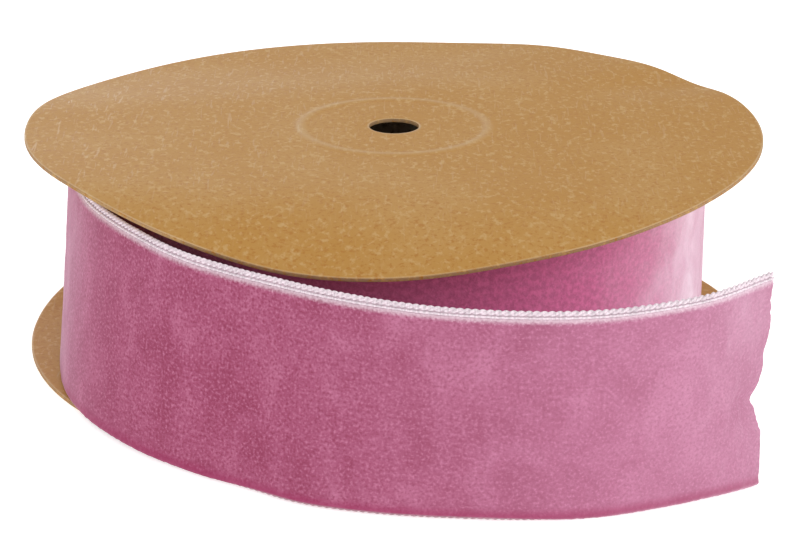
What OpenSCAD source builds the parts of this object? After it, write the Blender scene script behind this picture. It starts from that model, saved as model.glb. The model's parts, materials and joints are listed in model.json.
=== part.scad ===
// Ribbon spool: a roll of velvet ribbon between two kraft board flanges, with its end pulled loose.
// The spool stands on its lower flange. The origin is on the spindle axis, in the underside of that
// flange. +Z runs up the axis, -Y points to the loose ribbon's front and +X to its torn end.

/* [Flanges] */
// Diameter of both board flanges
flange_d = 140; // [136:1:150]
// Thickness of the board
board_t = 0.8; // [0.6:0.1:1]
// Diameter of the spindle hole in each flange
hole_d = 9.5; // [6:0.5:14]
// Height from the table to the flat middle of the upper flange
spool_h = 42.6; // [42.5:0.1:44]
// Distance from the axis to the line where the upper flange's near side starts to droop
near_flat = 36; // [32:1:44]
// How far the near rim of the upper flange has drooped
near_drop = 6; // [4:0.5:6]
// Distance from the axis to the line where the upper flange's far side starts to sink
far_flat = 20; // [20:1:24]
// Length of the sinking stretch on the far side
far_run = 40; // [38:1:44]
// How far the far side of the upper flange has sunk
far_drop = 2.8; // [2:0.1:2.8]
// How far the far side's fold is turned from the near side's, so that it sinks more at the left
far_turn = 13.5; // [0:0.5:20]

/* [Core] */
// Outer diameter of the paper core tube
core_d = 37.2; // [34:0.2:37.4]
// Thickness of one of the tube's three plies
ply_t = 0.5; // [0.4:0.1:0.6]
// Width of the ring that the tube's end has pressed up in the upper flange
ring_w = 1.8; // [1.2:0.1:2.4]
// Height of that ring above the board
ring_h = 0.15; // [0.1:0.05:0.3]
// Leg of the glue fillet inside each end of the tube
glue_leg = 1.4; // [1:0.1:2]

/* [Ribbon] */
// Width of the ribbon
ribbon_w = 38; // [37:0.5:38]
// Thickness of the velvet ribbon
ribbon_t = 1; // [0.8:0.1:1]
// Distance from one turn of the roll to the next
pitch = 1.1; // [1.08:0.01:1.1]
// Full turns in the roll
turns = 36; // [20:1:36]
// Height of the woven edge along each side of the ribbon
selvedge_w = 1; // [0.8:0.1:1.4]
// Thickness of the woven edge
selvedge_t = 0.8; // [0.6:0.1:0.8]

/* [Loose end] */
// Height of the ribbon's lower edge where it crosses the lower flange
tail_z_over_flange = 1.1; // [1:0.1:1.4]
// Height of the ribbon's lower edge beyond the flange
tail_z_beyond = 0.4; // [0.3:0.1:0.8]
// Gap between neighbouring lengths of the loose end, where it bends
bend_gap = 0.6; // [0.5:0.1:0.8]

/* [Hidden] */
$fn = 240;

flange_r = flange_d / 2;
core_r = core_d / 2;
core_bore_r = core_r - 3 * ply_t;
core_h = spool_h - 2 * board_t;

// The tape lies in the gap between the core and the first turn.
tape_t = 0.15;
tape_w = 24;
tape_angle = 50;
start_gap = 0.3;
first_r = core_r + start_gap + ribbon_t / 2;
last_r = first_r + turns * pitch;

// The drooping near side is one arc. The far side sinks along half a cosine wave.
near_run = flange_r - near_flat;
near_r = (near_run * near_run + near_drop * near_drop) / (2 * near_drop);
far_steps = 24;

// Each length of the loose end: its length along the ribbon, how far it turns, and its lower edge.
// It leaves the roll on the -X side, heading towards -Y.
tail = [
    [24, 6, tail_z_over_flange],
    [36, 30, tail_z_over_flange],
    [37, 30, tail_z_beyond],
    [35, 22, tail_z_beyond],
    [52, 45, tail_z_beyond]
];
tail_start = [-last_r, 0];
tail_heading = -90;

// The torn end, from the top edge down: how much is missing, and at what height on the ribbon.
tear = [
    [0, 1], [0.5, 0.94], [0.7, 0.86], [0, 0.74], [1.7, 0.62], [1, 0.54], [3.3, 0.42],
    [2.6, 0.32], [0.5, 0.24], [0.7, 0.15], [0.2, 0.08], [1.2, 0]
];

kraft = [0.72, 0.58, 0.43];
core_paper = [0.62, 0.54, 0.45];
glue_amber = [0.80, 0.74, 0.55];
tape_clear = [0.86, 0.86, 0.82];
pile_pink = [0.69, 0.39, 0.51];
selvedge_pale = [0.90, 0.78, 0.82];

function arc_r(i) = tail[i][0] / (tail[i][1] * PI / 180);
function heading(i) = i == 0 ? tail_heading : heading(i - 1) + tail[i - 1][1];
function chord(i) =
    let (half = tail[i][1] / 2, way = heading(i) + half)
    2 * arc_r(i) * sin(half) * [cos(way), sin(way)];
function spot(i) = i == 0 ? tail_start : spot(i - 1) + chord(i - 1);

// A curved strip of board in the Y-Z plane: the part of a ring between two angles.
module strip(outer, inner, from, to) {
    reach = 2 * outer;
    intersection() {
        difference() {
            circle(r = outer);
            circle(r = inner);
        }
        polygon([[0, 0], reach * [cos(from), sin(from)], reach * [cos(to), sin(to)]]);
    }
}

// The outline of the far side's underside or top: sinking, then flat past the rim.
function far_line(z) = concat(
    [for (i = [0 : far_steps])
        [far_flat + far_run * i / far_steps, z - far_drop * (1 - cos(180 * i / far_steps)) / 2]],
    [[flange_r + 1, z - far_drop]]);

// The upper flange's near side, seen along X: flat over the core, then drooping to the rim.
module near_profile() {
    near_end = asin(near_run / near_r);
    translate([-near_flat, spool_h - board_t]) square([near_flat + flange_r, board_t]);
    translate([-near_flat, spool_h - near_r])
        strip(near_r, near_r - board_t, 90, 90 + 1.1 * near_end);
}

// Its far side, seen along the fold: sinking from the flat middle.
module far_profile() {
    top = far_line(spool_h);
    underside = far_line(spool_h - board_t);
    polygon(concat(top, [for (i = [len(underside) - 1 : -1 : 0]) underside[i]]));
}

// Turns a profile into a board that is bent about one direction and straight along the other.
module folded_sheet() {
    rotate([90, 0, 90]) linear_extrude(flange_d + 2, center = true) children();
}

module bent_sheet() {
    difference() {
        folded_sheet() near_profile();
        rotate([0, 0, far_turn]) translate([-flange_d, far_flat, spool_h - 2 * board_t])
            cube([2 * flange_d, flange_d, 4 * board_t]);
    }
    rotate([0, 0, far_turn]) folded_sheet() far_profile();
}

// The low rounded ring that the tube's end has pressed up through the board.
module pressed_ring() {
    half = ring_w / 2;
    bead_r = (half * half + ring_h * ring_h) / (2 * ring_h);
    rotate_extrude()
        intersection() {
            translate([core_r - 1.5 * ply_t, spool_h + ring_h - bead_r]) circle(r = bead_r);
            translate([core_r - 1.5 * ply_t - half, spool_h - board_t / 2])
                square([ring_w, board_t]);
        }
}

module top_flange() {
    color(kraft) difference() {
        union() {
            intersection() {
                bent_sheet();
                cylinder(r = flange_r, h = spool_h + 1);
            }
            pressed_ring();
        }
        translate([0, 0, spool_h - 2 * board_t]) cylinder(d = hole_d, h = 4 * board_t);
    }
}

module bottom_flange() {
    color(kraft) difference() {
        cylinder(r = flange_r, h = board_t);
        translate([0, 0, -board_t]) cylinder(d = hole_d, h = 3 * board_t);
    }
}

// One ply of the core tube, counted from the inside.
module core_ply(count) {
    color(core_paper) translate([0, 0, board_t]) difference() {
        cylinder(r = core_bore_r + count * ply_t, h = core_h);
        translate([0, 0, -1]) cylinder(r = core_bore_r + (count - 1) * ply_t, h = core_h + 2);
    }
}

// The glue fillet in the corner between the tube's bore and a flange.
module glue_fillet(z, up) {
    color(glue_amber) translate([0, 0, z]) rotate_extrude()
        polygon([[core_bore_r, 0], [core_bore_r - glue_leg, 0], [core_bore_r, up * glue_leg]]);
}

module start_tape() {
    color(tape_clear) translate([0, 0, board_t + (ribbon_w - tape_w) / 2])
        rotate([0, 0, -tape_angle / 2]) rotate_extrude(angle = tape_angle)
            translate([core_r, 0]) square([tape_t, tape_w]);
}

// A band that stands on z = base and follows half a circle of middle radius r.
module half_turn(r, thick, base, high) {
    rotate_extrude(angle = 180) translate([r - thick / 2, base]) square([thick, high]);
}

// The wound ribbon is a true spiral: half circles whose centres change by half a pitch.
module wound(thick, base, high) {
    for (k = [0 : turns]) half_turn(first_r + k * pitch, thick, base, high);
    for (k = [0 : turns - 1])
        translate([pitch / 2, 0, 0]) rotate([0, 0, 180])
            half_turn(first_r + (k + 0.5) * pitch, thick, base, high);
}

module roll_pile() {
    color(pile_pink) wound(ribbon_t, board_t + selvedge_w, ribbon_w - 2 * selvedge_w);
}

module roll_selvedge(base) {
    color(selvedge_pale) wound(selvedge_t, base, selvedge_w);
}

// One length of the loose end. It starts past the bend gap and stops at the next length.
module tail_band(i, thick, from, high) {
    gap_angle = bend_gap / 2 / arc_r(i) * 180 / PI;
    last = i == len(tail) - 1;
    angle = tail[i][1] - (last ? 1 : 2) * gap_angle;
    centre = spot(i) + arc_r(i) * [-sin(heading(i)), cos(heading(i))];
    translate([centre[0], centre[1], tail[i][2] + from])
        rotate([0, 0, heading(i) - 90 + gap_angle]) rotate_extrude(angle = angle)
            translate([arc_r(i) - thick / 2, 0]) square([thick, high]);
}

// What the tear takes away: a jagged block across the loose end's last few millimetres.
module torn_away() {
    last = len(tail) - 1;
    tip = spot(last) + chord(last);
    slack = 5;
    jags = [for (t = tear) [-t[0], t[1] * ribbon_w]];
    outline = concat([[slack, ribbon_w + slack], [0, ribbon_w + slack]], jags,
        [[-tear[len(tear) - 1][0], -slack], [slack, -slack]]);
    translate([tip[0], tip[1], tail[last][2]])
        rotate([0, 0, heading(last) + tail[last][1]]) rotate([90, 0, 0])
            linear_extrude(4 * ribbon_t, center = true) polygon(outline);
}

module tail_part(i, thick, from, high) {
    if (i == len(tail) - 1) difference() {
        tail_band(i, thick, from, high);
        torn_away();
    }
    else tail_band(i, thick, from, high);
}

module tail_pile(i) {
    color(pile_pink) tail_part(i, ribbon_t, selvedge_w, ribbon_w - 2 * selvedge_w);
}

module tail_top_selvedge(i) {
    color(selvedge_pale) tail_part(i, selvedge_t, ribbon_w - selvedge_w, selvedge_w);
}

module tail_bottom_selvedge(i) {
    color(selvedge_pale) tail_part(i, selvedge_t, 0, selvedge_w);
}

top_flange();
bottom_flange();
core_ply(1);  // core_inner_ply
core_ply(2);  // core_middle_ply
core_ply(3);  // core_outer_ply
glue_fillet(spool_h - board_t, -1);  // top_glue
glue_fillet(board_t, 1);  // bottom_glue
start_tape();
roll_pile();
roll_selvedge(board_t + ribbon_w - selvedge_w);  // roll_top_selvedge
roll_selvedge(board_t);  // roll_bottom_selvedge
for (i = [0 : len(tail) - 1]) {
    tail_pile(i);
    tail_top_selvedge(i);
    tail_bottom_selvedge(i);
}
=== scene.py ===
"""Ribbon spool: two kraft boards on a paper core, wound with velvet ribbon whose end hangs loose."""

import json
import math

import bpy
from mathutils import Matrix, Vector, noise


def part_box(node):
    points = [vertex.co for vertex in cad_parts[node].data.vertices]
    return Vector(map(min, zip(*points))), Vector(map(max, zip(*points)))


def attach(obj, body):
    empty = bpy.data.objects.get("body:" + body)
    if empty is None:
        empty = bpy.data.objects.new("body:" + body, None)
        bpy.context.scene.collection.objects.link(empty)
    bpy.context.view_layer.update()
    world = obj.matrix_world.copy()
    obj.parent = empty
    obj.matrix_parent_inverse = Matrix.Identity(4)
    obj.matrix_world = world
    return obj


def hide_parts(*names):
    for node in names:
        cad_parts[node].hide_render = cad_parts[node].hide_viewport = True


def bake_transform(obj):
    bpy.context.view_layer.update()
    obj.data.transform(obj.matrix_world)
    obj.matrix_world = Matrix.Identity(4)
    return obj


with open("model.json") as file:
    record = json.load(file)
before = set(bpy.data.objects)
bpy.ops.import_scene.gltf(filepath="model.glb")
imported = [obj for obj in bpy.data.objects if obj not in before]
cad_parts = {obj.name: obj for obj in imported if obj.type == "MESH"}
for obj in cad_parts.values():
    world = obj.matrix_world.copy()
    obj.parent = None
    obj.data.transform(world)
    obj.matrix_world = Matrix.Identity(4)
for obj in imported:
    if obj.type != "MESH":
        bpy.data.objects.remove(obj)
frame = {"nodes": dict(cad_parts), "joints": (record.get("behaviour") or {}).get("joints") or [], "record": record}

bl_info = {
    "name": "Ribbon Spool",
    "version": (1, 0, 0),
    "blender": (4, 5, 0),
    "location": "View3D > Sidebar > Ribbon Spool",
    "description": "Boards, core, velvet roll and loose ribbon end of a ribbon spool",
    "category": "Mesh",
}

# Sizes that the frame gives, in metres.
FLANGE_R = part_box("bottom_flange")[1].x
BOARD_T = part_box("bottom_flange")[1].z
HOLE_R = frame["record"]["mounts"][0]["dims"]["r_mm"] / 1000
CORE_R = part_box("core_outer_ply")[1].x
CORE_WALL = CORE_R - (-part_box("top_glue")[0].x)
SPOOL_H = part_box("core_outer_ply")[1].z + BOARD_T
RIBBON_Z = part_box("roll_bottom_selvedge")[0].z
RIBBON_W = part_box("roll_top_selvedge")[1].z - RIBBON_Z
SELVEDGE_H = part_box("roll_bottom_selvedge")[1].z - RIBBON_Z
BENDS = [Vector(joint["pos_m"]).xy for joint in frame["joints"]]
ROLL_R = -BENDS[0].x
MM = 0.001
CORE_MIDDLE = CORE_R - CORE_WALL / 2


def mm_prop(name, about, size):
    """A length property, given in millimetres and stored in metres."""
    return bpy.props.FloatProperty(
        name=name, description=about, default=size * MM, unit="LENGTH", precision=5)


def angle_prop(name, about, degrees):
    return bpy.props.FloatProperty(
        name=name, description=about, default=math.radians(degrees), subtype="ANGLE")


def number_prop(name, about, value):
    return bpy.props.FloatProperty(name=name, description=about, default=value)


def colour_prop(name, about, value):
    return bpy.props.FloatVectorProperty(
        name=name, description=about, default=value, subtype="COLOR", min=0, max=1)


class BoardSettings(bpy.types.PropertyGroup):
    near_flat: mm_prop("Near flat", "Distance from the axis at which the near side droops", 36)
    near_drop: mm_prop("Near drop", "Droop of the near rim", 6)
    far_flat: mm_prop("Far flat", "Distance from the axis at which the far side sinks", 20)
    far_run: mm_prop("Far run", "Length over which the far side sinks", 40)
    far_drop: mm_prop("Far drop", "How far the far side has sunk", 2.8)
    far_turn: angle_prop("Far turn", "How far the far side's fold is turned to the left", 13.5)
    ring_w: mm_prop("Ring width", "Width of the ring pressed up by the core", 1.8)
    ring_h: mm_prop("Ring height", "Height of the ring pressed up by the core", 0.15)
    rim_wobble: mm_prop("Rim wobble", "Unevenness of the die-cut rim", 0.06)
    rim_round: mm_prop("Rim rounding", "Rounding of the board's cut edges", 0.16)
    sides: bpy.props.IntProperty(
        name="Sides", description="Steps round each board", default=288, min=48)
    face: colour_prop("Face", "Kraft board", (0.46, 0.224, 0.034))
    pale: colour_prop("Pale fibres", "Light fibres and rubbed places", (0.54, 0.320, 0.110))
    dark: colour_prop("Dark fibres", "Dark fibres in the board", (0.42, 0.175, 0.018))
    # The cut edge's colour is darkened with painted shade.
    cut: colour_prop("Cut edge", "Cut edge of the board", (0.36, 0.22, 0.11))


class RibbonSettings(bpy.types.PropertyGroup):
    thickness: mm_prop("Thickness", "Thickness of the velvet", 1.0)
    pitch: mm_prop("Pitch", "Distance between turns of the roll", 1.1)
    turns: bpy.props.IntProperty(
        name="Turns", description="Full turns in the roll", default=36, min=2)
    end_length: mm_prop("End length", "Length of the last bend of the loose end", 52)
    end_turn: angle_prop("End turn", "How far the last bend of the loose end turns", 45)
    step: mm_prop("Step", "Length of one mesh step along the loose end", 0.5)
    fluff: mm_prop("Fluff", "Unevenness of the pile's surface", 0.09)
    nap: angle_prop("Nap", "How far the pile leans along the ribbon", 15)
    rope_r: mm_prop("Rope radius", "Radius of one strand of the edge rope", 0.29)
    rope_twist: mm_prop("Rope twist", "Length in which the edge rope turns once", 2.5)
    pile: colour_prop("Pile", "Velvet pile, seen straight on", (0.35, 0.085, 0.162))
    pile_deep: colour_prop("Deep pile", "Velvet pile, looking into it", (0.26, 0.045, 0.095))
    pile_light: colour_prop("Light pile", "Velvet pile, seen on its tips", (0.50, 0.17, 0.28))
    # Brushed pile: its pale colour is partly painted sheen.
    pile_brushed_sheen: colour_prop("Brushed pile", "Velvet pile, brushed flat", (0.60, 0.30, 0.45))
    # The roll's front pile is brightened as painted light.
    pile_front_lit: colour_prop("Wound pile", "Velvet pile round the roll's front", (0.60, 0.125, 0.30))
    edge: colour_prop("Edge", "Woven edge", (0.84, 0.71, 0.77))
    foot: colour_prop("Foot", "Woven edge at the foot", (0.50, 0.30, 0.35))


class StageSettings(bpy.types.PropertyGroup):
    reach: mm_prop("Camera distance", "Distance from the upper board's middle", 600)
    climb: angle_prop("Camera climb", "Angle of the camera above the upper board", 17.01)
    dip: angle_prop("Camera dip", "How far the camera looks down", 19.57)
    turn: angle_prop("Camera turn", "How far the camera looks to the right", 0.13)
    roll: angle_prop("Camera roll", "How far the camera tips", 0.34)
    lens: number_prop("Lens", "Focal length in millimetres", 141.6)
    sky: number_prop("Sky", "Strength of the light from all round", 0.72)
    key: number_prop("Key light", "Power of the large light at the right", 3.9)
    fill: number_prop("Fill light", "Power of the light in front", 3.6)
    rear: number_prop("Rear light", "Power of the low light behind, at the left", 2.2)
    glow: number_prop("Floor glow", "Light that the table gives off", 0.55)


def settings(name):
    return getattr(bpy.context.scene, name)


# ---------------------------------------------------------------- modelling

def deselect():
    if bpy.context.mode != "OBJECT":
        bpy.ops.object.mode_set(mode="OBJECT")
    bpy.ops.object.select_all(action="DESELECT")


def begin_edit():
    bpy.ops.object.mode_set(mode="EDIT")
    bpy.ops.mesh.select_all(action="SELECT")


def end_edit():
    bpy.ops.object.mode_set(mode="OBJECT")


def apply_modifier(piece, kind, **values):
    modifier = piece.modifiers.new(kind.title(), kind)
    for name, value in values.items():
        setattr(modifier, name, value)
    bpy.context.view_layer.objects.active = piece
    bpy.ops.object.modifier_apply(modifier=modifier.name)


def smooth(piece, angle):
    deselect()
    piece.select_set(True)
    bpy.context.view_layer.objects.active = piece
    bpy.ops.object.shade_smooth_by_angle(angle=math.radians(angle))


def even_steps(start, stop, step):
    count = max(1, round((stop - start) / step))
    return [start + (stop - start) * i / count for i in range(count + 1)]


def ripple(x, y, scale, seed):
    """Smooth noise from -1 to 1 whose lumps are about 1/scale metres wide."""
    return noise.noise(Vector((x * scale, y * scale, seed)))


def ease(t):
    t = min(max(t, 0.0), 1.0)
    return t * t * (3 - 2 * t)


def ramp(points, at):
    """The value at one place on a smooth curve through (place, value) points."""
    if at <= points[0][0]:
        return points[0][1]
    if at >= points[-1][0]:
        return points[-1][1]
    i = 0
    while at > points[i + 1][0]:
        i += 1
    slopes = [0.0, 0.0]
    for side, k in enumerate((i, i + 1)):
        if 0 < k < len(points) - 1:
            (a, low), (b, high) = points[k - 1], points[k + 1]
            slopes[side] = (high - low) / (b - a)
    (a, low), (b, high) = points[i], points[i + 1]
    run, t = b - a, (at - a) / (b - a)
    return (low + (high - low) * ease(t)
            + run * t * (1 - t) * (slopes[0] * (1 - t) - slopes[1] * t))


# ---------------------------------------------------------------- boards

# Widths of the rings in a board's mesh: inside the pressed ring, over it, outside it and in the
# rim zone.
INSIDE_STEP, PRESSED_STEP, OUTSIDE_STEP, RIM_STEP = 1.2 * MM, 0.2 * MM, 1.3 * MM, 0.4 * MM
RIM_ZONE = 1.2 * MM
# How near to the rim or the hole a point counts as on it, and a face as part of its cut edge.
ON_EDGE, RIM_CUT, HOLE_CUT = 0.1 * MM, 0.5 * MM, 0.3 * MM
# Nicks for each metre of a cut edge, at the rim and at the hole.
RIM_NICKS, HOLE_NICKS = 700, 900
FACE_RIPPLE = 0.05 * MM


def board_rings():
    """Radii of the rings of one board's mesh, finer over the pressed ring and the rim."""
    board = settings("spool_board")
    inner, outer = CORE_MIDDLE - board.ring_w / 2, CORE_MIDDLE + board.ring_w / 2
    radii = even_steps(HOLE_R, inner, INSIDE_STEP)[:-1]
    radii += even_steps(inner, outer, PRESSED_STEP)[:-1]
    radii += even_steps(outer, FLANGE_R - RIM_ZONE, OUTSIDE_STEP)[:-1]
    return radii + even_steps(FLANGE_R - RIM_ZONE, FLANGE_R, RIM_STEP)


def flat_disc(name, radii):
    """A ring-shaped sheet, extruded outwards ring by ring from its hole."""
    board = settings("spool_board")
    deselect()
    bpy.ops.mesh.primitive_circle_add(
        vertices=board.sides, radius=radii[0], fill_type="NOTHING")
    disc = bpy.context.object
    disc.name = name
    begin_edit()
    for inner, outer in zip(radii, radii[1:]):
        bpy.ops.mesh.extrude_edges_move()
        bpy.ops.transform.resize(value=(outer / inner, outer / inner, 1))
    bpy.ops.mesh.select_all(action="SELECT")
    bpy.ops.mesh.normals_make_consistent(inside=False)
    end_edit()
    if disc.data.polygons[0].normal.z < 0:
        begin_edit()
        bpy.ops.mesh.flip_normals()
        end_edit()
    return disc


# Waves of a rim: (where in degrees round from +X, half width in degrees, height in mm), and the
# share of the board's radius from which they grow.
RIM_WAVES = [(31, 9, -1.5), (63, 13, 1.2), (212, 22, 1.0), (254, 10, -0.45), (287, 15, 1.1),
             (322, 12, -0.4)]
LOWER_RIM_WAVES = [(152, 20, 1.3)]
RIM_WAVES_FROM, LOWER_RIM_WAVES_FROM = 0.55, 0.89


def rim_wave(x, y, waves, inner):
    """Height of a board's waves at one place, growing from the inner share of its radius out."""
    grown = ease((math.hypot(x, y) / FLANGE_R - inner) / (1 - inner))
    place = math.degrees(math.atan2(y, x))
    lift = 0.0
    for middle, half_width, height in waves:
        off = (place - middle + 180) % 360 - 180
        lift += height * math.exp(-(off / half_width) ** 2)
    return lift * grown * MM


def bent_height(x, y):
    """Height of the upper board's top over the table at one place."""
    board = settings("spool_board")
    run = FLANGE_R - board.near_flat
    bend_r = (run * run + board.near_drop ** 2) / (2 * board.near_drop)
    near = max(0.0, -y - board.near_flat)
    droop = bend_r - math.sqrt(bend_r * bend_r - near * near)
    across_fold = y * math.cos(board.far_turn) - x * math.sin(board.far_turn)
    far = min(max((across_fold - board.far_flat) / board.far_run, 0.0), 1.0)
    sink = board.far_drop * (1 - math.cos(math.pi * far)) / 2
    off_ring = (math.hypot(x, y) - CORE_MIDDLE) / (board.ring_w / 2)
    ring = board.ring_h * max(0.0, 1 - off_ring * off_ring)
    waves = FACE_RIPPLE * ripple(x, y, 45, 3.0) + rim_wave(x, y, RIM_WAVES, RIM_WAVES_FROM)
    return SPOOL_H - droop - sink + ring + waves


def flat_height(x, y):
    """Height of the lower board's top: level, with its rim curled up a little at one side."""
    return BOARD_T + rim_wave(x, y, LOWER_RIM_WAVES, LOWER_RIM_WAVES_FROM)


def make_board(name, height_at, seed):
    """A die-cut board: its top surface is shaped first, then gets its thickness and cut edges."""
    board = settings("spool_board")
    disc = flat_disc(name, board_rings())
    for vertex in disc.data.vertices:
        x, y, _ = vertex.co
        r = math.hypot(x, y)
        shift = 1
        if r > FLANGE_R - ON_EDGE:
            shift -= board.rim_wobble / r * (0.5 + 0.5 * ripple(x, y, RIM_NICKS, seed))
        elif r < HOLE_R + ON_EDGE:
            shift += board.rim_wobble / r * ripple(x, y, HOLE_NICKS, seed)
        x, y = x * shift, y * shift
        vertex.co = (x, y, height_at(x, y))
    apply_modifier(disc, "SOLIDIFY", thickness=BOARD_T, offset=-1, use_even_offset=True)
    apply_modifier(disc, "BEVEL", width=board.rim_round, segments=2,
                   limit_method="ANGLE", angle_limit=math.radians(60))
    smooth(disc, 35)
    disc.data.materials.append(kraft_material())
    disc.data.materials.append(cut_edge_material())
    for face in disc.data.polygons:
        r = math.hypot(face.center.x, face.center.y)
        at_cut = r > FLANGE_R - RIM_CUT or r < HOLE_R + HOLE_CUT
        face.material_index = 1 if at_cut and abs(face.normal.z) < 0.8 else 0
    layer = disc.data.uv_layers[0]
    for loop in disc.data.loops:
        x, y, z = disc.data.vertices[loop.vertex_index].co
        layer.data[loop.index].uv = (math.atan2(y, x) * FLANGE_R, height_at(x, y) - z)
    return disc


# ---------------------------------------------------------------- ribbon paths

class Spot:
    """A place on the ribbon's middle line: its point and the way out of the roll."""

    def __init__(self, point, angle):
        self.point = point
        self.out = Vector((math.cos(angle), math.sin(angle)))


def half_turns():
    """The roll's half circles from the core outwards: (centre x, radius, start angle)."""
    ribbon = settings("spool_ribbon")
    first_r = ROLL_R - ribbon.turns * ribbon.pitch
    return [(ribbon.pitch / 2 if m % 2 else 0.0, first_r + m * ribbon.pitch / 2, math.pi * (m % 2))
            for m in range(2 * ribbon.turns + 1)]


def roll_spot(s):
    """A spot on the roll, s metres before the place where the ribbon leaves it."""
    for centre_x, radius, start in reversed(half_turns()):
        length = math.pi * radius
        if s <= length:
            angle = start + math.pi - s / radius
            out = Vector((math.cos(angle), math.sin(angle)))
            return Spot(Vector((centre_x, 0)) + radius * out, angle)
        s -= length
    raise ValueError("the roll is not that long")


def roll_length(turns):
    """Length of ribbon in the outermost turns."""
    return sum(math.pi * radius for _, radius, _ in list(reversed(half_turns()))[:2 * turns])


def tail_arcs():
    """The loose end's bends: (start length, start point, start heading, length, turn)."""
    ribbon = settings("spool_ribbon")
    arcs, heading, travelled = [], -math.pi / 2, 0.0
    for start, stop in zip(BENDS, BENDS[1:]):
        way = stop - start
        turn = 2 * (math.atan2(way.y, way.x) - heading)
        length = way.length * (turn / 2) / math.sin(turn / 2)
        arcs.append((travelled, start, heading, length, turn))
        heading += turn
        travelled += length
    arcs.append((travelled, BENDS[-1], heading, ribbon.end_length, ribbon.end_turn))
    return arcs


def tail_spot(s):
    """A spot on the loose end, s metres after the place where the ribbon leaves the roll."""
    if s < 0:
        return roll_spot(-s)
    found = [arc for arc in tail_arcs() if arc[0] <= s][-1]
    begun, start, heading, length, turn = found
    radius = length / turn
    centre = start + radius * Vector((-math.sin(heading), math.cos(heading)))
    angle = heading - math.pi / 2 + (s - begun) / radius
    return Spot(centre + radius * Vector((math.cos(angle), math.sin(angle))), angle)


def tail_length():
    begun, _, _, length, _ = tail_arcs()[-1]
    return begun + length


# How far the ribbon's edges stand out from its middle line, in mm, and how high its foot is, by
# the length along it in metres: the last turn has sprung off the roll before it is left.
TOP_LEAN = [(-0.055, 0), (-0.010, 1.9), (0.010, 1.7), (0.030, -0.9), (0.053, -3.45),
            (0.070, -4.0), (0.085, -4.7), (0.097, -3.8), (0.118, -0.8), (0.136, 0.8),
            (0.151, 1.6), (0.168, 0.8), (0.184, -1.2)]
FOOT_LEAN = [(-0.055, 0), (-0.010, 3.4), (0.016, 4.3), (0.045, 3.3), (0.060, 2.0),
             (0.073, 0.6), (0.086, -0.2), (0.098, 0.9), (0.112, 0.6), (0.130, -0.1),
             (0.150, 0), (0.168, -0.4), (0.184, 0.5)]
FOOT_Z = [(-0.04, 0.85), (0.0, 0.95), (0.050, 1.05), (0.068, 0.7), (0.090, 0.2), (0.184, 0.15)]
# What the tear has taken from the end, in mm, by the share of the ribbon's width. Below 0, it has
# left a little more.
TEAR = [(0, 2.6), (0.07, 2.5), (0.16, 2.4), (0.26, 2.4), (0.32, 3.3), (0.40, 4.3), (0.435, 5.2),
        (0.49, 3.3), (0.57, 1.9), (0.634, 1.75), (0.70, 0.6), (0.76, 0), (0.89, -0.1),
        (0.96, -0.8), (1, -1)]
TORN_RUN = 12 * MM
# Lengths along the ribbon at which one piece of the loose end takes over from the last.
SEAMS = [-0.012, 0.012, 0.042, 0.0785, 0.1145]
# How far the ribbon buckles in and out, and its foot lifts, once it is SLACK_RUN from the roll,
# and how far its turns stray up in the roll.
SLACK_RUN = 0.03
BUCKLE, FOOT_LIFT, TURN_STRAY = 0.25 * MM, 0.12 * MM, 0.08 * MM
# The stretch of the loose end on which the woven edge shows at the foot, and how it fades in.
SHOWN_FROM, SHOWN_TO, SHOWN_FADE = 0.075, 0.150, 0.02
# Elsewhere the pile's lowest FRAY_H hangs down by FRAY, give or take FRAY_VARIES.
FRAY_H, FRAY, FRAY_VARIES = 2.5 * MM, 0.45 * MM, 0.12 * MM
# Steps of the mesh along the ribbon, and the rows up its pile.
INNER_STEP, INNER_ROWS = 4.5 * MM, 7 * MM
OUTER_STEP, OUTER_ROWS, OUTER_EDGE_STEP = 1.0 * MM, 1.0 * MM, 0.35 * MM
LOOSE_ROWS, LOOSE_EDGE_STEP = 0.7 * MM, 0.25 * MM
# How far to each side of a bend a point on the loose end is taken; nothing uses these points.
BEND_REACH = 11 * MM


def ribbon_place(s, out, up):
    """The point at length s, out metres from the middle line and up metres from the foot.
    s is 0 where the ribbon leaves the roll, and below 0 on the roll."""
    spot = tail_spot(s)
    share = up / RIBBON_W
    lean = (1 - share) * ramp(FOOT_LEAN, s) + share * ramp(TOP_LEAN, s)
    slack = ease(s / SLACK_RUN)
    away = out + lean * MM + slack * BUCKLE * ripple(s, 0.4 * up, 45, 5.0)
    foot = ramp(FOOT_Z, s) * MM + slack * FOOT_LIFT * max(0.0, ripple(s, 0, 60, 11.0))
    if s < 0:
        foot += ease(-s / SLACK_RUN) * TURN_STRAY * ripple(s, 0, 9, 2.0)
    point = spot.point + away * spot.out
    return Vector((point.x, point.y, foot + up))


def torn_place(s, out, up):
    """The same, drawn back near the end to the line along which the ribbon was torn off."""
    stop = tail_length()
    near_end = ease((s - stop + TORN_RUN) / TORN_RUN)
    missing = ramp(TEAR, up / RIBBON_W) + 0.3 * ripple(up, 0, 1500, 7.0)
    return ribbon_place(s - near_end * missing * MM, out, up)


# ---------------------------------------------------------------- ribbon meshes

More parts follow.
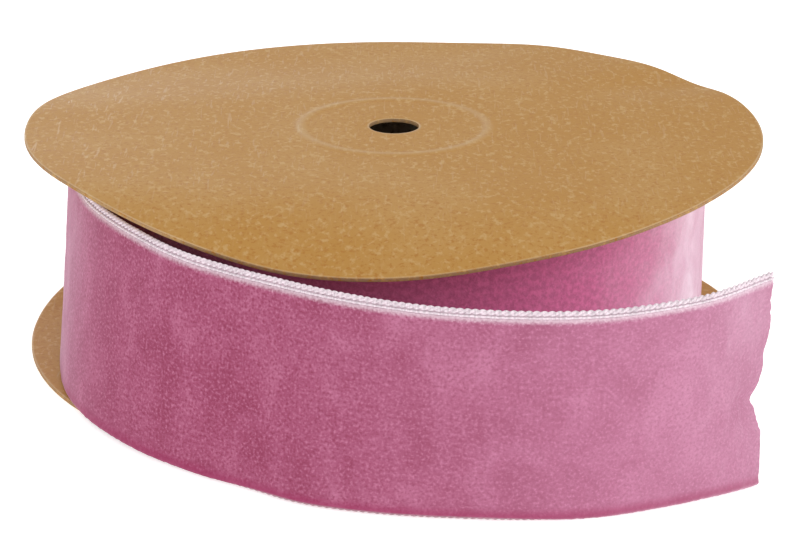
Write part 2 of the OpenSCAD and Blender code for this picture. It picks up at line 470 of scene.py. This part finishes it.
def swept(name, places, profile, ends, at, back=0):
    """A closed tube: a grid whose columns follow the lengths in places and whose rows go
    round the profile's (out, up) points. at(s, out, up) gives each vertex's place. Each end
    is closed by one more column, drawn in to the points in ends. Faces behind the middle
    line get the material numbered back."""
    deselect()
    places = [places[0], *places, places[-1]]
    across = len(places) - 1
    around = len(profile)
    bpy.ops.mesh.primitive_grid_add(x_subdivisions=across, y_subdivisions=around, size=1)
    piece = bpy.context.object
    piece.name = name
    steps = {}
    for vertex in piece.data.vertices:
        i = round((vertex.co.x + 0.5) * across)
        j = round((vertex.co.y + 0.5) * around)
        steps[vertex.index] = (i, j)
        out, up = (ends if i in (0, across) else profile)[j % around]
        vertex.co = at(places[i], out, up)
    layer = piece.data.uv_layers[0]
    for loop in piece.data.loops:
        i, j = steps[loop.vertex_index]
        layer.data[loop.index].uv = (places[i], profile[j % around][1])
    for face in piece.data.polygons:
        outs = [profile[steps[v][1] % around][0] for v in face.vertices]
        face.material_index = back if max(outs) < 0 else 0
    begin_edit()
    bpy.ops.mesh.remove_doubles(threshold=1e-7)
    end_edit()
    smooth(piece, 50)
    return piece


def pile_profile(step):
    """The velvet's cross-section, (out, up): the pile in front, rounded over at both sides, and
    the woven ground behind, which goes on into both edges."""
    half = settings("spool_ribbon").thickness / 2
    low, high = 0.5 * SELVEDGE_H, RIBBON_W - 1.5 * SELVEDGE_H
    front = [(0.1 * half, low - 0.2 * MM), (0.6 * half, low), (0.9 * half, low + 0.25 * MM)]
    front += [(half, up) for up in even_steps(low + 0.6 * MM, high - 0.6 * MM, step)]
    front += [(0.9 * half, high - 0.2 * MM), (0.55 * half, high), (0.1 * half, high + 0.1 * MM),
              (0, RIBBON_W - 0.4 * SELVEDGE_H)]
    return front + [(-0.8 * half, up) for _, up in reversed(front)]


def fluffed(place):
    """Wraps a place function so that the pile's front is uneven, as brushed velvet is, and its
    foot is frayed and hides the woven edge but along the middle of the loose end."""
    fluff = settings("spool_ribbon").fluff

    def at(s, out, up):
        if out > 0:
            shown = ease((s - SHOWN_FROM) / SHOWN_FADE) * ease((SHOWN_TO - s) / SHOWN_FADE)
            low = ease(1 - up / FRAY_H) * (1 - shown)
            up -= low * (FRAY + FRAY_VARIES * ripple(s, 0, 1100, 3.0))
            out += fluff * (0.6 * ripple(s, up, 260, 1.0) + 0.5 * ripple(s, up, 900, 4.0))
        return place(s, out, up)
    return at


def tube_profile(radius, sides):
    return [(radius * math.cos(2 * math.pi * k / sides), radius * math.sin(2 * math.pi * k / sides))
            for k in range(sides)]


def strand(name, places, place, middle, radius, wind, twist, phase, sides=7):
    """One strand that winds round the line at middle = (out, up) on the ribbon."""
    def at(s, out, up):
        angle = 2 * math.pi * s / twist + phase
        swell = 1 + 0.12 * ripple(s, 0, 900, phase)
        return place(s, middle[0] + wind * math.cos(angle) + swell * out,
                     middle[1] + wind * math.sin(angle) + swell * up)
    return swept(name, places, tube_profile(radius, sides), [(0, 0)] * sides, at)


def joined(name, pieces):
    deselect()
    for piece in pieces:
        piece.select_set(True)
    bpy.context.view_layer.objects.active = pieces[0]
    bpy.ops.object.join()
    bpy.context.object.name = name
    return bpy.context.object


def woven_edge(name, places, place, at_top):
    """A woven edge: a two-strand rope along the outside and, at the top, a thin cord beside it."""
    ribbon = settings("spool_ribbon")
    twist = ribbon.rope_twist
    if at_top:
        middle, radius = (0, RIBBON_W - SELVEDGE_H / 2), ribbon.rope_r
        wind = SELVEDGE_H / 2 - radius
    else:
        middle, radius, wind = (0, 0.32 * SELVEDGE_H), 0.6 * ribbon.rope_r, 0.12 * MM
    parts = [strand(name + "_strand", places, place, middle, radius, wind, twist, phase)
             for phase in (0, math.pi)]
    if at_top:
        beside = (0.28 * MM, RIBBON_W - 1.22 * SELVEDGE_H)
        parts.append(strand(name + "_cord", places, place, beside, 0.2 * MM, 0.03 * MM,
                            0.5 * twist, 0.4))
    piece = joined(name, parts)
    piece.data.materials.append(yarn_material(at_top))
    return piece


def pile_strip(name, places, place, step):
    profile = pile_profile(step)
    flat_ends = [(0, up) for _, up in profile]
    piece = swept(name, places, profile, flat_ends, fluffed(place), back=1)
    piece.data.materials.append(velvet_material())
    piece.data.materials.append(ground_material())
    return piece


# ---------------------------------------------------------------- materials

def plug(tree, socket, value):
    """Links the input socket if value is another node's output, and sets it otherwise."""
    if isinstance(value, bpy.types.NodeSocket):
        tree.links.new(value, socket)
    else:
        socket.default_value = value


def feed(tree, target, inputs):
    """Plugs each of the node's named inputs into its value."""
    for name, value in inputs.items():
        plug(tree, target.inputs[name], value)


def node(tree, kind, inputs=None, **values):
    """A new shader node, with its settings in values and what its inputs are fed."""
    made = tree.nodes.new(kind)
    for name, value in values.items():
        setattr(made, name, value)
    feed(tree, made, inputs or {})
    return made


def opaque(colour):
    return (*colour, 1.0)


def mixed(tree, share, low, high):
    """A colour between low and high by share, as a socket."""
    made = node(tree, "ShaderNodeMix", data_type="RGBA")
    for name, value in (("Factor", share), ("A", low), ("B", high)):
        plug(tree, [s for s in made.inputs if s.name == name and s.enabled][0], value)
    return [s for s in made.outputs if s.enabled][0]


def banded(tree, value, low, high, out_low=0.0, out_high=1.0):
    """value mapped from low..high to out_low..out_high, smoothly and clamped."""
    return node(tree, "ShaderNodeMapRange", {
        "Value": value, "From Min": low, "From Max": high,
        "To Min": out_low, "To Max": out_high}, interpolation_type="SMOOTHSTEP").outputs[0]


def math_node(tree, operation, first, second):
    return node(tree, "ShaderNodeMath", {0: first, 1: second}, operation=operation).outputs[0]


def noise_value(tree, vector, scale, detail=3.0, roughness=0.55, distortion=0.0):
    return node(tree, "ShaderNodeTexNoise", {
        "Vector": vector, "Scale": scale, "Detail": detail,
        "Roughness": roughness, "Distortion": distortion}).outputs["Fac"]


def stretched(tree, vector, turn, scale):
    return node(tree, "ShaderNodeMapping", {
        "Vector": vector, "Rotation": (0, 0, turn), "Scale": scale}).outputs[0]


def relief(tree, height, strength, depth):
    """The normal of a bump that is depth metres high, as a socket."""
    return node(tree, "ShaderNodeBump", {
        "Strength": strength, "Distance": depth, "Height": height}).outputs[0]


def object_place(tree):
    return node(tree, "ShaderNodeTexCoord").outputs["Object"]


def made_once(name):
    """Marks a function that finishes a material, so that it runs once and pieces share it."""
    def marked(finish):
        def shared():
            if name not in bpy.data.materials:
                finish(name)
            return bpy.data.materials[name]
        return shared
    return marked


def new_material(name):
    """Starts a material with a Principled BSDF. Gives its tree and its shader."""
    material = bpy.data.materials.new(name)
    material.use_nodes = True
    tree = material.node_tree
    tree.nodes.clear()
    shader = node(tree, "ShaderNodeBsdfPrincipled")
    out = node(tree, "ShaderNodeOutputMaterial")
    tree.links.new(shader.outputs[0], out.inputs[0])
    return tree, shader


def new_group(name, inputs, outputs):
    """An empty node group. inputs and outputs are (name, socket type, default) rows."""
    group = bpy.data.node_groups.new(name, "ShaderNodeTree")
    for row, way in [(r, "INPUT") for r in inputs] + [(r, "OUTPUT") for r in outputs]:
        socket = group.interface.new_socket(name=row[0], in_out=way, socket_type=row[1])
        if way == "INPUT" and row[2] is not None:
            socket.default_value = row[2]
    return group, group.nodes.new("NodeGroupInput"), group.nodes.new("NodeGroupOutput")


def share_of(tree, value, amount):
    return math_node(tree, "MULTIPLY", value, amount)


def scattered(tree, vector, scale, radius, kept):
    """A mask of small round specks, about one in each cell of 1/scale metres that is kept."""
    cells = node(tree, "ShaderNodeTexVoronoi", {"Vector": vector, "Scale": scale})
    dot = banded(tree, cells.outputs["Distance"], radius * scale, 0.4 * radius * scale)
    pick = node(tree, "ShaderNodeSeparateColor", {"Color": cells.outputs["Color"]}).outputs[0]
    return math_node(tree, "MULTIPLY", dot, math_node(tree, "LESS_THAN", pick, kept))


def fibre_group():
    """Paper pulp: soft grain, clouds, fine crossed fibres and a few specks, and its height."""
    if "Paper pulp" in bpy.data.node_groups:
        return bpy.data.node_groups["Paper pulp"]
    group, given, result = new_group(
        "Paper pulp",
        [("Vector", "NodeSocketVector", None), ("Base", "NodeSocketColor", (0.5, 0.3, 0.1, 1)),
         ("Pale", "NodeSocketColor", (0.6, 0.4, 0.2, 1)),
         ("Dark", "NodeSocketColor", (0.35, 0.15, 0.03, 1)),
         ("Amount", "NodeSocketFloat", 1.0)],
        [("Colour", "NodeSocketColor"), ("Height", "NodeSocketFloat")])
    vector, amount = given.outputs["Vector"], given.outputs["Amount"]
    pale, dark = given.outputs["Pale"], given.outputs["Dark"]
    cloud = banded(group, noise_value(group, vector, 40, 4), 0.38, 0.68, 0, 0.32)
    colour = mixed(group, share_of(group, cloud, amount), given.outputs["Base"], pale)
    grain = noise_value(group, vector, 1150, 2.5, 0.6, 0.3)
    darker = banded(group, grain, 0.50, 0.67, 0, 0.95)
    colour = mixed(group, share_of(group, darker, amount), colour, dark)
    other = noise_value(group, stretched(group, vector, 0.9, (1.0, 0.7, 1.0)), 900, 2.5, 0.6)
    paler = banded(group, other, 0.52, 0.69, 0, 0.9)
    colour = mixed(group, share_of(group, paler, amount), colour, pale)
    hairs = None
    for turn, scale in ((0.4, 1500), (1.5, 1700), (2.6, 1600)):
        lane = stretched(group, vector, turn, (1.0, 0.09, 0.5))
        hair = banded(group, noise_value(group, lane, scale, 1, 0.5, 0.5), 0.66, 0.74)
        hairs = hair if hairs is None else math_node(group, "MAXIMUM", hairs, hair)
    colour = mixed(group, share_of(group, share_of(group, hairs, 0.16), amount), colour, pale)
    specks = scattered(group, vector, 150, 0.20 * MM, 0.35)
    colour = mixed(group, share_of(group, specks, 0.7), colour, (0.10, 0.045, 0.015, 1))
    flecks = scattered(group, stretched(group, vector, 0.3, (1.0, 1.0, 1.0)), 210, 0.16 * MM, 0.4)
    colour = mixed(group, share_of(group, flecks, 0.6), colour, (0.80, 0.66, 0.46, 1))
    fine = noise_value(group, vector, 3200, 2, 0.6)
    height = math_node(group, "ADD", share_of(group, grain, 0.5), share_of(group, hairs, 0.35))
    height = math_node(group, "ADD", height, share_of(group, fine, 0.3))
    group.links.new(colour, result.inputs["Colour"])
    group.links.new(height, result.inputs["Height"])
    return group


def paper_material(name, base, pale, dark, roughness, depth):
    """A pulpy paper or board finish. Gives its tree, its shader and its colour socket."""
    tree, shader = new_material(name)
    pulp = node(tree, "ShaderNodeGroup", node_tree=fibre_group())
    feed(tree, pulp, {"Vector": object_place(tree), "Base": opaque(base), "Pale": opaque(pale),
                      "Dark": opaque(dark)})
    height = pulp.outputs["Height"]
    feed(tree, shader, {
        "Normal": relief(tree, height, 0.5, depth),
        "Roughness": banded(tree, height, 0.3, 0.8, roughness + 0.08, roughness - 0.08),
        "Specular IOR Level": 0.42})
    return tree, shader, pulp.outputs["Colour"]


def from_axis(tree):
    """Distance from the spindle axis, as a socket."""
    flat = stretched(tree, object_place(tree), 0, (1, 1, 0))
    return node(tree, "ShaderNodeVectorMath", {0: flat}, operation="LENGTH").outputs["Value"]


@made_once("Kraft board")
def kraft_material(name):
    """Kraft board, paler over the pressed ring and rubbed pale round the hole, with a painted highlight along the
    rim's top edge.
    """
    board = settings("spool_board")
    tree, shader, colour = paper_material(
        name, board.face, board.pale, board.dark, 0.52, 0.05 * MM)
    r = from_axis(tree)
    off_ring = math_node(tree, "ABSOLUTE", math_node(tree, "SUBTRACT", r, CORE_MIDDLE), 0)
    ring = banded(tree, off_ring, 1.6 * MM, 0.0, 0, 0.28)
    # Painted highlight: paler along the rim's top edge, where it catches the light.
    rim = banded(tree, r, FLANGE_R - 0.5 * MM, FLANGE_R - 0.1 * MM, 0, 0.55)
    hole = banded(tree, r, HOLE_R + 0.6 * MM, HOLE_R + 0.1 * MM, 0, 0.5)
    # The pressed ring, the rubbed hole edge and the painted rim highlight all mix to one pale colour.
    pale_and_highlit = math_node(tree, "MAXIMUM", math_node(tree, "MAXIMUM", ring, rim), hole)
    feed(tree, shader, {"Base Color": mixed(tree, pale_and_highlit, colour, (0.62, 0.46, 0.28, 1))})


@made_once("Kraft cut edge")
def cut_edge_material(name):
    """The board's cut edge, with its plies as fine lines and torn fibres along them. Its base colour is darkened
    with painted shade.
    """
    board = settings("spool_board")
    tree, shader, colour = paper_material(
        name, board.cut, board.pale, board.dark, 0.85, 0.08 * MM)
    uv = node(tree, "ShaderNodeUVMap", uv_map="UVMap").outputs[0]
    wander = share_of(tree, noise_value(tree, uv, 500, 2), 0.10 * MM)
    depth = node(tree, "ShaderNodeSeparateXYZ", {"Vector": uv}).outputs["Y"]
    depth = math_node(tree, "ADD", depth, wander)
    plies = math_node(tree, "PINGPONG", depth, BOARD_T / 6)
    line = banded(tree, plies, 0.06 * MM, 0.0, 0, 0.7)
    colour = mixed(tree, line, colour, (0.13, 0.065, 0.025, 1))
    torn = noise_value(tree, stretched(tree, uv, 0, (1.0, 6.0, 1.0)), 1400, 3)
    colour = mixed(tree, banded(tree, torn, 0.58, 0.72, 0, 0.5), colour, opaque(board.pale))
    feed(tree, shader, {"Base Color": colour})


@made_once("Core paper")
def core_material(name):
    """Spiral-wound core paper, with the slanting seams of its strips."""
    tree, shader, colour = paper_material(
        name, (0.33, 0.25, 0.18), (0.48, 0.39, 0.29), (0.2, 0.14, 0.09), 0.8, 0.05 * MM)
    axes = node(tree, "ShaderNodeSeparateXYZ", {"Vector": object_place(tree)})
    angle = math_node(tree, "ARCTAN2", axes.outputs["Y"], axes.outputs["X"])
    slant = math_node(tree, "ADD", axes.outputs["Z"], share_of(tree, angle, 30 * MM / math.tau))
    seam = banded(tree, math_node(tree, "PINGPONG", slant, 15 * MM), 0.3 * MM, 0.0, 0, 0.8)
    feed(tree, shader, {"Base Color": mixed(tree, seam, colour, (0.10, 0.07, 0.04, 1))})


@made_once("Hot glue")
def glue_material(name):
    """Lumpy amber glue."""
    tree, shader = new_material(name)
    lumps = noise_value(tree, object_place(tree), 320, 2)
    feed(tree, shader, {
        "Base Color": mixed(tree, banded(tree, lumps, 0.35, 0.65), (0.55, 0.44, 0.22, 1),
                            (0.70, 0.60, 0.36, 1)),
        "Normal": relief(tree, lumps, 0.6, 0.2 * MM),
        "Roughness": 0.32})


@made_once("Clear tape")
def tape_material(name):
    """Shiny tape with small dull bubbles under it."""
    tree, shader = new_material(name)
    bubbles = noise_value(tree, object_place(tree), 700, 2)
    feed(tree, shader, {
        "Base Color": mixed(tree, banded(tree, bubbles, 0.5, 0.7), (0.72, 0.70, 0.62, 1),
                            (0.86, 0.85, 0.80, 1)),
        "Roughness": banded(tree, bubbles, 0.4, 0.7, 0.12, 0.35)})


def ribbon_uv(tree):
    """The ribbon's own map, in metres. Gives the map, and the places along it and up it."""
    uv = node(tree, "ShaderNodeUVMap", uv_map="UVMap").outputs[0]
    axes = node(tree, "ShaderNodeSeparateXYZ", {"Vector": uv})
    return uv, axes.outputs["X"], axes.outputs["Y"]


@made_once("Velvet pile")
def velvet_material(name):
    """Brushed pile: fine tufts, soft patches where it leans another way, darker towards the foot, with painted
    light and painted sheen in its colour.
    """
    ribbon = settings("spool_ribbon")
    deep, light = opaque(ribbon.pile_deep), opaque(ribbon.pile_light)
    tree, shader = new_material(name)
    uv, along, height = ribbon_uv(tree)
    patches = noise_value(tree, stretched(tree, uv, 0.5, (1.0, 0.75, 1.0)), 130, 3, 0.55, 0.6)
    broad = noise_value(tree, uv, 32, 2)
    streaks = noise_value(tree, stretched(tree, uv, 0.04, (1.0, 0.10, 1.0)), 420, 2)
    tufts = noise_value(tree, uv, 1900, 2, 0.6)
    clumps = noise_value(tree, uv, 1000, 2, 0.6)
    leaning = math_node(tree, "ADD", share_of(tree, patches, 0.62), share_of(tree, broad, 0.30))
    leaning = math_node(tree, "ADD", leaning, share_of(tree, streaks, 0.08))
    colour = opaque(ribbon.pile)
    for pattern, low, high, share, tint in (
            (leaning, 0.52, 0.38, 0.55, deep), (leaning, 0.50, 0.66, 0.50, light),
            (clumps, 0.50, 0.70, 0.35, light), (clumps, 0.50, 0.32, 0.35, deep),
            (tufts, 0.52, 0.72, 0.85, light), (tufts, 0.50, 0.31, 0.85, deep)):
        colour = mixed(tree, banded(tree, pattern, low, high, 0, share), colour, tint)
    lint = scattered(tree, uv, 90, 0.16 * MM, 0.3)
    colour = mixed(tree, share_of(tree, lint, 0.5), colour, (0.75, 0.50, 0.58, 1))
    along = math_node(tree, "ADD", along, share_of(tree, patches, 0.03))
    # Towards the torn end and round the roll the pile is brushed, and made paler as painted sheen where the light
    # from the right catches it.
    at_end = banded(tree, along, 0.100, 0.190, 0, 0.38)
    at_roll = banded(tree, along, 0.070, 0.030, 0, 0.22)
    colour = mixed(tree, math_node(tree, "MAXIMUM", at_end, at_roll), colour,
                   opaque(ribbon.pile_brushed_sheen))
    # Round the roll's front the pile is brightened and made more saturated as painted light, then past a slanting
    # line it is made pale as painted sheen on a patch brushed another way.
    front = math_node(tree, "MULTIPLY", banded(tree, along, -0.31, -0.24, 0, 0.7),
                      banded(tree, along, -0.175, -0.235))
    front_painted_light = mixed(tree, banded(tree, clumps, 0.34, 0.68),
                    opaque([0.84 * value for value in ribbon.pile_front_lit]),
                    opaque([1.16 * value for value in ribbon.pile_front_lit]))
    colour = mixed(tree, front, colour, front_painted_light)
    # Painted sheen on a patch brushed another way: paler past a slanting line.
    slanted = math_node(tree, "SUBTRACT", along, share_of(tree, height, 1.6))
    pale_and_highlit = math_node(tree, "MULTIPLY", banded(tree, slanted, -0.252, -0.236, 0, 0.17),
                       banded(tree, slanted, -0.14, -0.19))
    colour = mixed(tree, pale_and_highlit, colour, (0.75, 0.45, 0.62, 1))
    # Darker towards the foot.
    foot = banded(tree, height, 2.6 * MM, 0.8 * MM, 0, 0.66)
    colour = mixed(tree, foot, colour, (0.30, 0.035, 0.105, 1))
    frayed = math_node(tree, "ADD", height, share_of(tree, tufts, 1.0 * MM))
    crown = banded(tree, frayed, RIBBON_W - 2.1 * MM, RIBBON_W - 0.6 * MM, 0, 0.85)
    colour = mixed(tree, crown, colour, opaque(ribbon.edge))
    # Painted sheen: the colour turns pale at grazing angles. The pile leans along the ribbon, so the angle is
    # taken from a normal tilted that way, and the sheen shows to one side more than the other.
    lean = node(tree, "ShaderNodeNormalMap", {
        "Color": (0.5 + 0.5 * math.sin(ribbon.nap), 0.5, 0.5 + 0.5 * math.cos(ribbon.nap), 1)},
        uv_map="UVMap")
    facing = node(tree, "ShaderNodeLayerWeight", {
        "Blend": 0.5, "Normal": lean.outputs[0]}).outputs["Facing"]
    painted_sheen = share_of(tree, math_node(tree, "POWER", facing, 3.2), 0.50)
    painted_sheen = math_node(tree, "MULTIPLY", painted_sheen, banded(tree, leaning, 0.34, 0.60, 0.75, 1.2))
    tuft_height = math_node(tree, "ADD", share_of(tree, tufts, 0.7), share_of(tree, clumps, 0.6))
    tuft_height = math_node(tree, "ADD", tuft_height, share_of(tree, patches, 1.2))
    feed(tree, shader, {
        "Base Color": mixed(tree, painted_sheen, colour, (0.93, 0.84, 0.92, 1)),
        "Normal": relief(tree, tuft_height, 0.7, 0.22 * MM),
        "Roughness": 0.95, "Specular IOR Level": 0.1,
        "Sheen Weight": 0.12, "Sheen Roughness": 0.30, "Sheen Tint": (1.0, 0.90, 0.98, 1)})


@made_once("Woven ground")
def ground_material(name):
    """The velvet's back: a fine plain weave with a slight shine."""
    ribbon = settings("spool_ribbon")
    tree, shader = new_material(name)
    uv, along, height = ribbon_uv(tree)
    warp_step, weft_step = 0.17 * MM, 0.22 * MM
    warp = math_node(tree, "PINGPONG", height, warp_step)
    weft = math_node(tree, "PINGPONG", along, weft_step)
    weave = math_node(tree, "ADD", math_node(tree, "DIVIDE", warp, warp_step),
                      math_node(tree, "DIVIDE", weft, weft_step))
    slubs = noise_value(tree, stretched(tree, uv, 0, (0.1, 1.0, 1.0)), 1600, 2)
    colour = mixed(tree, banded(tree, weave, 0.4, 1.6, 0, 0.6), (0.33, 0.09, 0.16, 1),
                   opaque(ribbon.pile_light))
    colour = mixed(tree, banded(tree, slubs, 0.5, 0.7, 0, 0.5), colour,
                   opaque(ribbon.pile_light))
    edges = banded(tree, height, RIBBON_W - 1.9 * MM, RIBBON_W - 1.2 * MM, 0, 0.9)
    feed(tree, shader, {
        "Base Color": mixed(tree, edges, colour, opaque(ribbon.edge)),
        "Normal": relief(tree, math_node(tree, "ADD", weave, slubs), 0.6, 0.08 * MM),
        "Roughness": 0.55, "Sheen Weight": 0.3})


def spin_yarn(name, high):
    """Yarn with fine slanting threads, with painted shade darkening their hollows."""
    low = [0.74 * value for value in high]
    tree, shader = new_material(name)
    uv, _, _ = ribbon_uv(tree)
    threads = noise_value(tree, stretched(tree, uv, 0.7, (1.0, 0.3, 1.0)), 2400, 2)
    # Painted shade: the colour is darker where the threads' bump is low.
    feed(tree, shader, {
        "Base Color": mixed(tree, banded(tree, threads, 0.35, 0.65), opaque(low), opaque(high)),
        "Normal": relief(tree, threads, 0.6, 0.08 * MM),
        "Roughness": 0.75, "Sheen Weight": 0.3, "Sheen Roughness": 0.5})


@made_once("Woven edge")
def top_yarn(name):
    spin_yarn(name, settings("spool_ribbon").edge)


@made_once("Woven foot")
def foot_yarn(name):
    spin_yarn(name, settings("spool_ribbon").foot)


def yarn_material(at_top):
    """The finish of the pale woven edge at the top, or of the duller one at the foot."""
    return top_yarn() if at_top else foot_yarn()


# ---------------------------------------------------------------- operators

class SPOOL_OT_boards(bpy.types.Operator):
    """Make the two kraft boards"""
    bl_idname = "spool.boards"
    bl_label = "Boards"

    def execute(self, context):
        for name, height_at, seed in (("upper_board", bent_height, 1.0),
                                      ("lower_board", flat_height, 6.0)):
            board = make_board(name, height_at, seed)
            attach(board, "spool")
            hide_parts("top_flange" if name == "upper_board" else "bottom_flange")
        return {"FINISHED"}


class SPOOL_OT_core(bpy.types.Operator):
    """Finish the core tube, its glue and the starting tape"""
    bl_idname = "spool.core"
    bl_label = "Core"

    def execute(self, context):
        made = {
            core_material: ("core_inner_ply", "core_middle_ply", "core_outer_ply"),
            glue_material: ("top_glue", "bottom_glue"),
            tape_material: ("start_tape",),
        }
        for finish, names in made.items():
            for name in names:
                piece = frame["nodes"][name]
                piece.data.materials.clear()
                piece.data.materials.append(finish())
        return {"FINISHED"}


class SPOOL_OT_roll(bpy.types.Operator):
    """Wind the velvet roll and its woven edges"""
    bl_idname = "spool.roll"
    bl_label = "Roll"

    def execute(self, context):
        ribbon = settings("spool_ribbon")
        whole = roll_length(ribbon.turns) + math.pi * half_turns()[0][1]
        outer = roll_length(1)
        seam = SEAMS[0]
        inner_places = even_steps(-whole + 0.5 * MM, -outer, INNER_STEP)
        outer_places = even_steps(-outer, seam, OUTER_STEP)
        inner = pile_strip("roll_inner_turns", inner_places, ribbon_place, INNER_ROWS)
        shell = pile_strip("roll_outer_turn", outer_places, ribbon_place, OUTER_ROWS)
        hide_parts("roll_pile")
        for piece in (inner, shell):
            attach(piece, "spool")
        for at_top, replaced in ((True, "roll_top_selvedge"), (False, "roll_bottom_selvedge")):
            side = "top" if at_top else "foot"
            middle = (0, RIBBON_W - SELVEDGE_H / 2) if at_top else (0, SELVEDGE_H / 2)
            inner_edge = strand("roll_inner_%s_edge" % side, inner_places, ribbon_place, middle,
                                radius=SELVEDGE_H / 2.2, wind=0, twist=1, phase=0, sides=6)
            inner_edge.data.materials.append(yarn_material(at_top))
            edge_places = even_steps(-outer, seam, OUTER_EDGE_STEP)
            outer_edge = woven_edge("roll_outer_%s_edge" % side, edge_places, ribbon_place,
                                    at_top)
            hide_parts(replaced)
            for piece in (inner_edge, outer_edge):
                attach(piece, "spool")
        return {"FINISHED"}


class SPOOL_OT_loose_end(bpy.types.Operator):
    """Make the ribbon's loose end, one piece over each of its bends"""
    bl_idname = "spool.loose_end"
    bl_label = "Loose end"

    def execute(self, context):
        ribbon = settings("spool_ribbon")
        bends = [arc[0] for arc in tail_arcs()]
        stops = SEAMS[1:] + [tail_length()]
        for i, (start, stop, bend) in enumerate(zip(SEAMS, stops, bends)):
            number = i + 1
            place = torn_place if number == len(bends) else ribbon_place
            cloth_places = even_steps(start, stop, ribbon.step)
            edge_places = even_steps(start, stop, LOOSE_EDGE_STEP)
            velvet = pile_strip("loose_%d_velvet" % number, cloth_places, place, LOOSE_ROWS)
            top = woven_edge("loose_%d_top_edge" % number, edge_places, place, True)
            foot = woven_edge("loose_%d_foot_edge" % number, edge_places, place, False)
            begin = ribbon_place(bend - BEND_REACH, 0, RIBBON_W / 2)
            finish = ribbon_place(bend + BEND_REACH, 0, RIBBON_W / 2)
            for piece, kind, slot in ((velvet, "pile", "velvet"),
                                      (top, "top_selvedge", "selvedge"),
                                      (foot, "bottom_selvedge", "selvedge")):
                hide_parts("tail_%d_%s" % (number, kind))
                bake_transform(piece)
        return {"FINISHED"}


class SPOOL_OT_stage(bpy.types.Operator):
    """Set up the table, the lights and the camera"""
    bl_idname = "spool.stage"
    bl_label = "Stage"

    def execute(self, context):
        make_floor()
        make_lights()
        make_camera()
        return {"FINISHED"}


# The table's width, and how far it lies below the lower board, so that the two don't coincide.
TABLE_SIZE, TABLE_GAP = 6, 0.1 * MM


@made_once("Table white")
def table_material(name):
    """Matt white that glows a little, so that the shadows on it stay pale."""
    tree, shader = new_material(name)
    feed(tree, shader, {
        "Base Color": (0.9, 0.9, 0.9, 1), "Roughness": 0.9, "Emission Color": (1, 1, 1, 1),
        "Emission Strength": settings("spool_stage").glow})


def make_floor():
    deselect()
    bpy.ops.mesh.primitive_plane_add(size=TABLE_SIZE, location=(0, 0, -TABLE_GAP))
    floor = bpy.context.object
    floor.name = "table"
    floor.data.materials.append(table_material())


def area_light(name, place, aim, size, power):
    """A white rectangular light at place that points to aim, both in metres."""
    data = bpy.data.lights.new(name, "AREA")
    data.shape = "RECTANGLE"
    data.size, data.size_y = size
    data.energy = power
    light = bpy.data.objects.new(name, data)
    bpy.context.scene.collection.objects.link(light)
    light.location = place
    light.rotation_euler = (Vector(aim) - Vector(place)).to_track_quat("-Z", "Y").to_euler()


def make_lights():
    stage = settings("spool_stage")
    area_light("key_right", (0.95, -0.30, 0.42), (0, -0.02, 0.02), (0.6, 0.6), stage.key)
    area_light("fill_front", (-0.60, -1.0, 0.65), (0, -0.03, 0.02), (0.8, 0.8), stage.fill)
    area_light("rear_left", (-0.5, 1.0, 0.30), (-0.03, 0.03, 0.04), (0.9, 0.4), stage.rear)
    world = bpy.data.worlds.new("Studio")
    bpy.context.scene.world = world
    world.use_nodes = True
    tree = world.node_tree
    seen = node(tree, "ShaderNodeLightPath").outputs["Is Camera Ray"]
    strength = math_node(tree, "MAXIMUM", seen, stage.sky)
    feed(tree, tree.nodes["Background"], {"Color": (1, 1, 1, 1), "Strength": strength})
    bpy.context.scene.view_settings.view_transform = "Standard"


def make_camera():
    """The camera stands in front of the spool, above its upper board, and looks down at it."""
    stage = settings("spool_stage")
    away = Vector((0, -math.cos(stage.climb), math.sin(stage.climb)))
    place = Vector((0, 0, SPOOL_H)) + stage.reach * away
    ahead = Vector((math.sin(stage.turn) * math.cos(stage.dip),
                    math.cos(stage.turn) * math.cos(stage.dip), -math.sin(stage.dip)))
    right = ahead.cross(Vector((0, 0, 1))).normalized()
    above = right.cross(ahead)
    tipped_right = math.cos(stage.roll) * right + math.sin(stage.roll) * above
    tipped_above = math.cos(stage.roll) * above - math.sin(stage.roll) * right
    data = bpy.data.cameras.new("camera")
    data.lens = stage.lens
    data.sensor_width = 36
    camera = bpy.data.objects.new("camera", data)
    bpy.context.scene.collection.objects.link(camera)
    turned = Matrix((tipped_right, tipped_above, -ahead)).transposed().to_4x4()
    camera.matrix_world = Matrix.Translation(place) @ turned
    bpy.context.scene.camera = camera


class SPOOL_PT_panel(bpy.types.Panel):
    """Lists the spool's settings and the operators that make it"""
    bl_idname = "SPOOL_PT_panel"
    bl_label = "Ribbon Spool"
    bl_space_type = "VIEW_3D"
    bl_region_type = "UI"
    bl_category = "Ribbon Spool"

    def draw(self, context):
        for group in ("spool_board", "spool_ribbon", "spool_stage"):
            box = self.layout.box()
            values = getattr(context.scene, group)
            for name in values.__annotations__:
                box.prop(values, name)
        for kind in OPERATORS:
            self.layout.operator(kind.bl_idname)


OPERATORS = (SPOOL_OT_stage, SPOOL_OT_boards, SPOOL_OT_core, SPOOL_OT_roll, SPOOL_OT_loose_end)
GROUPS = {"spool_board": BoardSettings, "spool_ribbon": RibbonSettings,
          "spool_stage": StageSettings}


def register():
    for kind in (*GROUPS.values(), *OPERATORS, SPOOL_PT_panel):
        bpy.utils.register_class(kind)
    for name, kind in GROUPS.items():
        setattr(bpy.types.Scene, name, bpy.props.PointerProperty(type=kind))


def unregister():
    for name in GROUPS:
        delattr(bpy.types.Scene, name)
    for kind in reversed((*GROUPS.values(), *OPERATORS, SPOOL_PT_panel)):
        bpy.utils.unregister_class(kind)


def main():
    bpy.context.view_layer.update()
    register()
    bpy.ops.spool.stage()
    bpy.ops.spool.boards()
    bpy.ops.spool.core()
    bpy.ops.spool.roll()
    bpy.ops.spool.loose_end()


if __name__ == "__main__":
    main()
